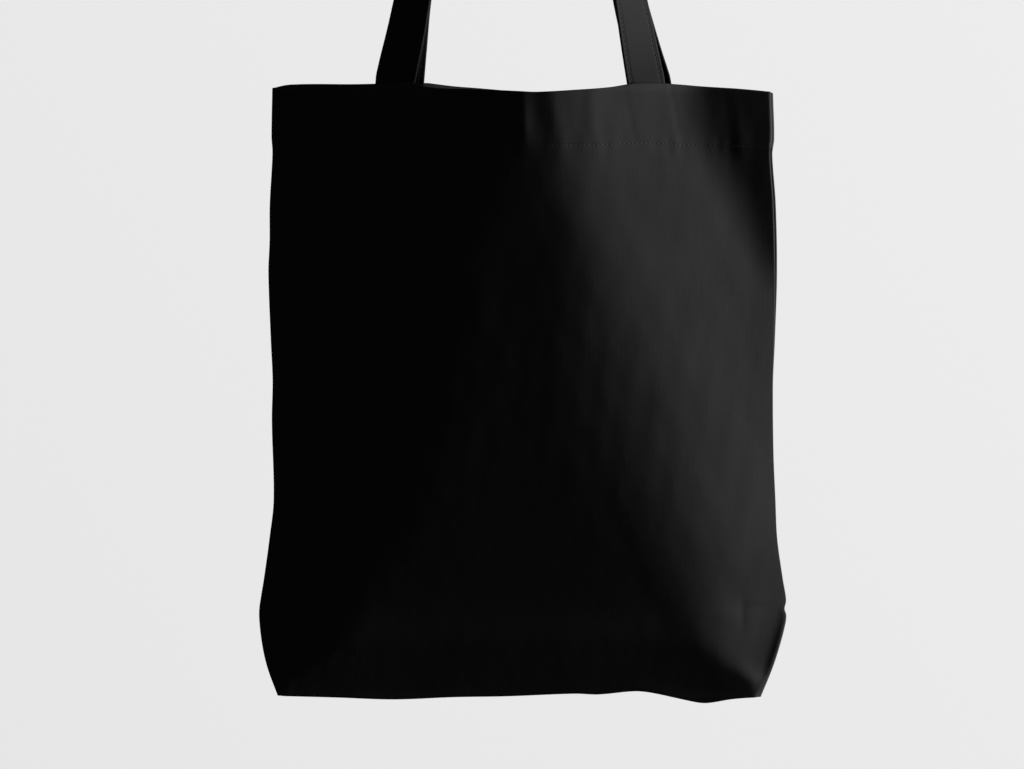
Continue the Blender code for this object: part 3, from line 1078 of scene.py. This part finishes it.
def strap_section():
    """Around the strap, as (across, out): two plies, folded at the edges."""
    half, thick = STRAP_WIDTH / 2, STRAP_THICKNESS / 2
    stitch = half - EDGE_STITCH
    face = []
    for across in np.linspace(-half + thick, half - thick, 33):
        groove = bell((across + stitch) / (0.8 * MM)) + bell((across - stitch) / (0.8 * MM))
        crown = STRAP_CROWN * (1 - (across / half) ** 2)
        face.append((across, thick + crown - STITCH_GROOVE * groove))
    turns = np.linspace(0, math.pi, 8)[1:-1]
    section = list(face)
    for turn in turns:
        # One edge is open, with a slit between the plies
        slit = PLY_SLIT * bell((turn - math.pi / 2) / 0.22)
        section.append((half - thick + (thick - slit) * math.sin(turn), thick * math.cos(turn)))
    section += [(-across, -out) for across, out in face]
    for turn in turns:
        section.append((-half + thick - thick * math.sin(turn), -thick * math.cos(turn)))
    return np.array(section)


def strap_mesh(name, centres, acrosses, normals, along, wobble):
    section = strap_section()
    across, out = section.T
    points = centres[:, None] + acrosses[:, None] * (across[:, None] + wobble[:, None, None])
    points = points + normals[:, None] * out[:, None]
    rows, columns = points.shape[:2]
    i, j = np.meshgrid(np.arange(rows - 1), np.arange(columns), indexing="ij")
    a, b = i * columns + j, i * columns + (j + 1) % columns
    faces = np.stack([a, a + columns, b + columns, b], -1).reshape(-1, 4).tolist()
    faces += [list(range(columns)), list(range((rows - 1) * columns, rows * columns))]
    uv = np.stack(np.broadcast_arrays(travelled(section)[None], along[:, None]), -1)
    edge = np.clip((np.abs(across) - STRAP_WIDTH / 2 + 1.2 * MM) / (1.2 * MM), 0, 1)
    wear = np.broadcast_to(edge * STRAP_WEAR, (rows, columns))
    mesh = make_mesh(name, points, faces, uv, wear)
    bm = bmesh.new()
    bm.from_mesh(mesh)
    bmesh.ops.recalc_face_normals(bm, faces=bm.faces[:])
    bm.to_mesh(mesh)
    bm.free()
    return mesh


def make_handle(name, side):
    """One strap with its sewn ends and its two rows of stitching, and its length."""
    centres, acrosses, normals = strap_path(side)
    along = travelled(centres)
    wobble = STRAP_WOBBLE * waves(along, 0.0, 70 + side, 0.05)
    mesh = strap_mesh(name + "_handle_canvas", centres, acrosses, normals, along, wobble)
    handle = add_object(name + "_handle_canvas", mesh, shaded_strap_canvas)
    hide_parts(name + "_handle", f"{name}_left_handle_end", f"{name}_right_handle_end")
    pieces = [handle]
    level = STRAP_THICKNESS / 2 - STITCH_GROOVE + THREAD * 0.45
    clear = slice(2, -2)
    for edge_name, edge_side in (("inner", -1), ("outer", 1)):
        inset = edge_side * (STRAP_WIDTH / 2 - EDGE_STITCH) + wobble
        runs = []
        for face in (-1, 1):
            line = centres + acrosses * inset[:, None] + normals * face * level
            runs.append((line[clear], normals[clear] * face))
        stitches = stitching(f"{name}_handle_{edge_name}_thread", runs, shaded_strap_thread)
        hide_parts(f"{name}_handle_{edge_name}_stitching")
        pieces.append(stitches)
    for piece in pieces:
        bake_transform(piece)
    return handle, float(along[-1])


gusset = make_gusset()
for side_name, side in SIDES:
    make_panel(side_name, side)
    make_hem_stitching(side_name, side)
    for hand_name, hand in HANDS:
        make_end_stitching(f"{side_name}_{hand_name}_handle_end", side, hand)
seams = [make_side_seam(hand_name, hand) for hand_name, hand in HANDS]
handles = [make_handle(side_name, side) for side_name, side in SIDES]


# Studio


def area_light(name, location, size, energy, target=BAG_MIDDLE):
    data = bpy.data.lights.new(name, "AREA")
    data.shape = "RECTANGLE"
    data.size, data.size_y = size
    data.energy = energy
    light = bpy.data.objects.new(name, data)
    bpy.context.scene.collection.objects.link(light)
    light.location = location
    light.rotation_euler = (Vector(target) - Vector(location)).to_track_quat("-Z", "Y").to_euler()
    light.visible_camera = False
    return light


def floor_material():
    """Pale to the camera but dark to the bag, and gone where the floor ends."""
    material, shader, n = new_material("pale_floor")
    links = material.node_tree.links
    seen = n.add("LightPath").outputs["Is Camera Ray"]
    grain = n.add("TexNoise", {"Scale": 3.0, "Detail": 3.0}).outputs["Fac"]
    pale = n.math("ADD", n.math("MULTIPLY", grain, 0.03), FLOOR_PALE)
    more = n.math("MULTIPLY", seen, n.math("SUBTRACT", pale, FLOOR_DARK))
    links.new(n.math("ADD", more, FLOOR_DARK), shader.inputs["Base Color"])
    shader.inputs["Roughness"].default_value = 0.9
    shader.inputs["Specular IOR Level"].default_value = 0.0
    reach = n.add("VectorMath", {0: n.add("TexCoord").outputs["Object"]}, operation="LENGTH")
    start, end = FLOOR_FADE
    fade = {"Value": reach.outputs["Value"], "From Min": start, "From Max": end}
    fade = n.add("MapRange", fade).outputs[0]
    mix = n.add("MixShader", {0: fade, 1: shader.outputs[0]})
    links.new(n.add("BsdfTransparent").outputs[0], mix.inputs[2])
    links.new(mix.outputs[0], material.node_tree.nodes["Material Output"].inputs["Surface"])
    return material


def make_floor():
    """The floor with a lamp of its own; returns what the other lamps light."""
    bpy.ops.mesh.primitive_plane_add(size=FLOOR_SIZE, location=(0, 0, FLOOR_Z))
    floor = bpy.context.object
    floor.name = "studio_floor"
    floor.data.materials.append(floor_material())
    floor_only = bpy.data.collections.new("floor_only")
    floor_only.objects.link(floor)
    lamp = area_light("floor_light", *FLOOR_LIGHT, target=(0, 0, FLOOR_Z))
    lamp.light_linking.receiver_collection = floor_only
    all_but_floor = bpy.data.collections.new("all_but_floor")
    all_but_floor.objects.link(floor)
    all_but_floor.collection_objects[0].light_linking.link_state = "EXCLUDE"
    return all_but_floor


def make_world():
    """A pale grey studio: seen at its full brightness, it lights the bag only dimly."""
    world = bpy.data.worlds.new("studio")
    bpy.context.scene.world = world
    world.use_nodes = True
    n = Nodes(world.node_tree)
    background = world.node_tree.nodes["Background"]
    split = n.add("SeparateXYZ", {0: n.add("TexCoord").outputs["Generated"]})
    tone = GREY
    for axis, rise in GREY_RISES:
        span = {"Value": split.outputs[axis], "From Min": -GREY_REACH, "From Max": GREY_REACH}
        part = n.add("MapRange", {**span, "To Min": -rise, "To Max": rise})
        tone = n.math("ADD", part.outputs[0], tone)
    seen = n.add("LightPath").outputs["Is Camera Ray"]
    unseen = n.math("MULTIPLY", n.math("SUBTRACT", 1.0, seen), AMBIENT)
    strength = n.math("ADD", n.math("MULTIPLY", seen, tone), unseen)
    world.node_tree.links.new(strength, background.inputs["Strength"])
    background.inputs["Color"].default_value = (1.0, 1.0, 1.0, 1.0)


def make_camera():
    data = bpy.data.cameras.new("camera")
    camera = bpy.data.objects.new("camera", data)
    bpy.context.scene.collection.objects.link(camera)
    data.sensor_width = SENSOR
    data.lens = SENSOR * VIEW_DISTANCE / VIEW_WIDTH
    camera.location = (VIEW_X, -VIEW_DISTANCE, MOUTH_Z - VIEW_DROP)
    camera.rotation_euler = (math.radians(90), 0, 0)
    bpy.context.scene.camera = camera


make_camera()
all_but_floor = make_floor()
make_world()
for name, settings in (("key", KEY_LIGHT), ("back_light", BACK_LIGHT)):
    lamp = area_light(name, *settings)
    lamp.light_linking.receiver_collection = all_but_floor
bpy.context.scene.view_settings.view_transform = "Standard"
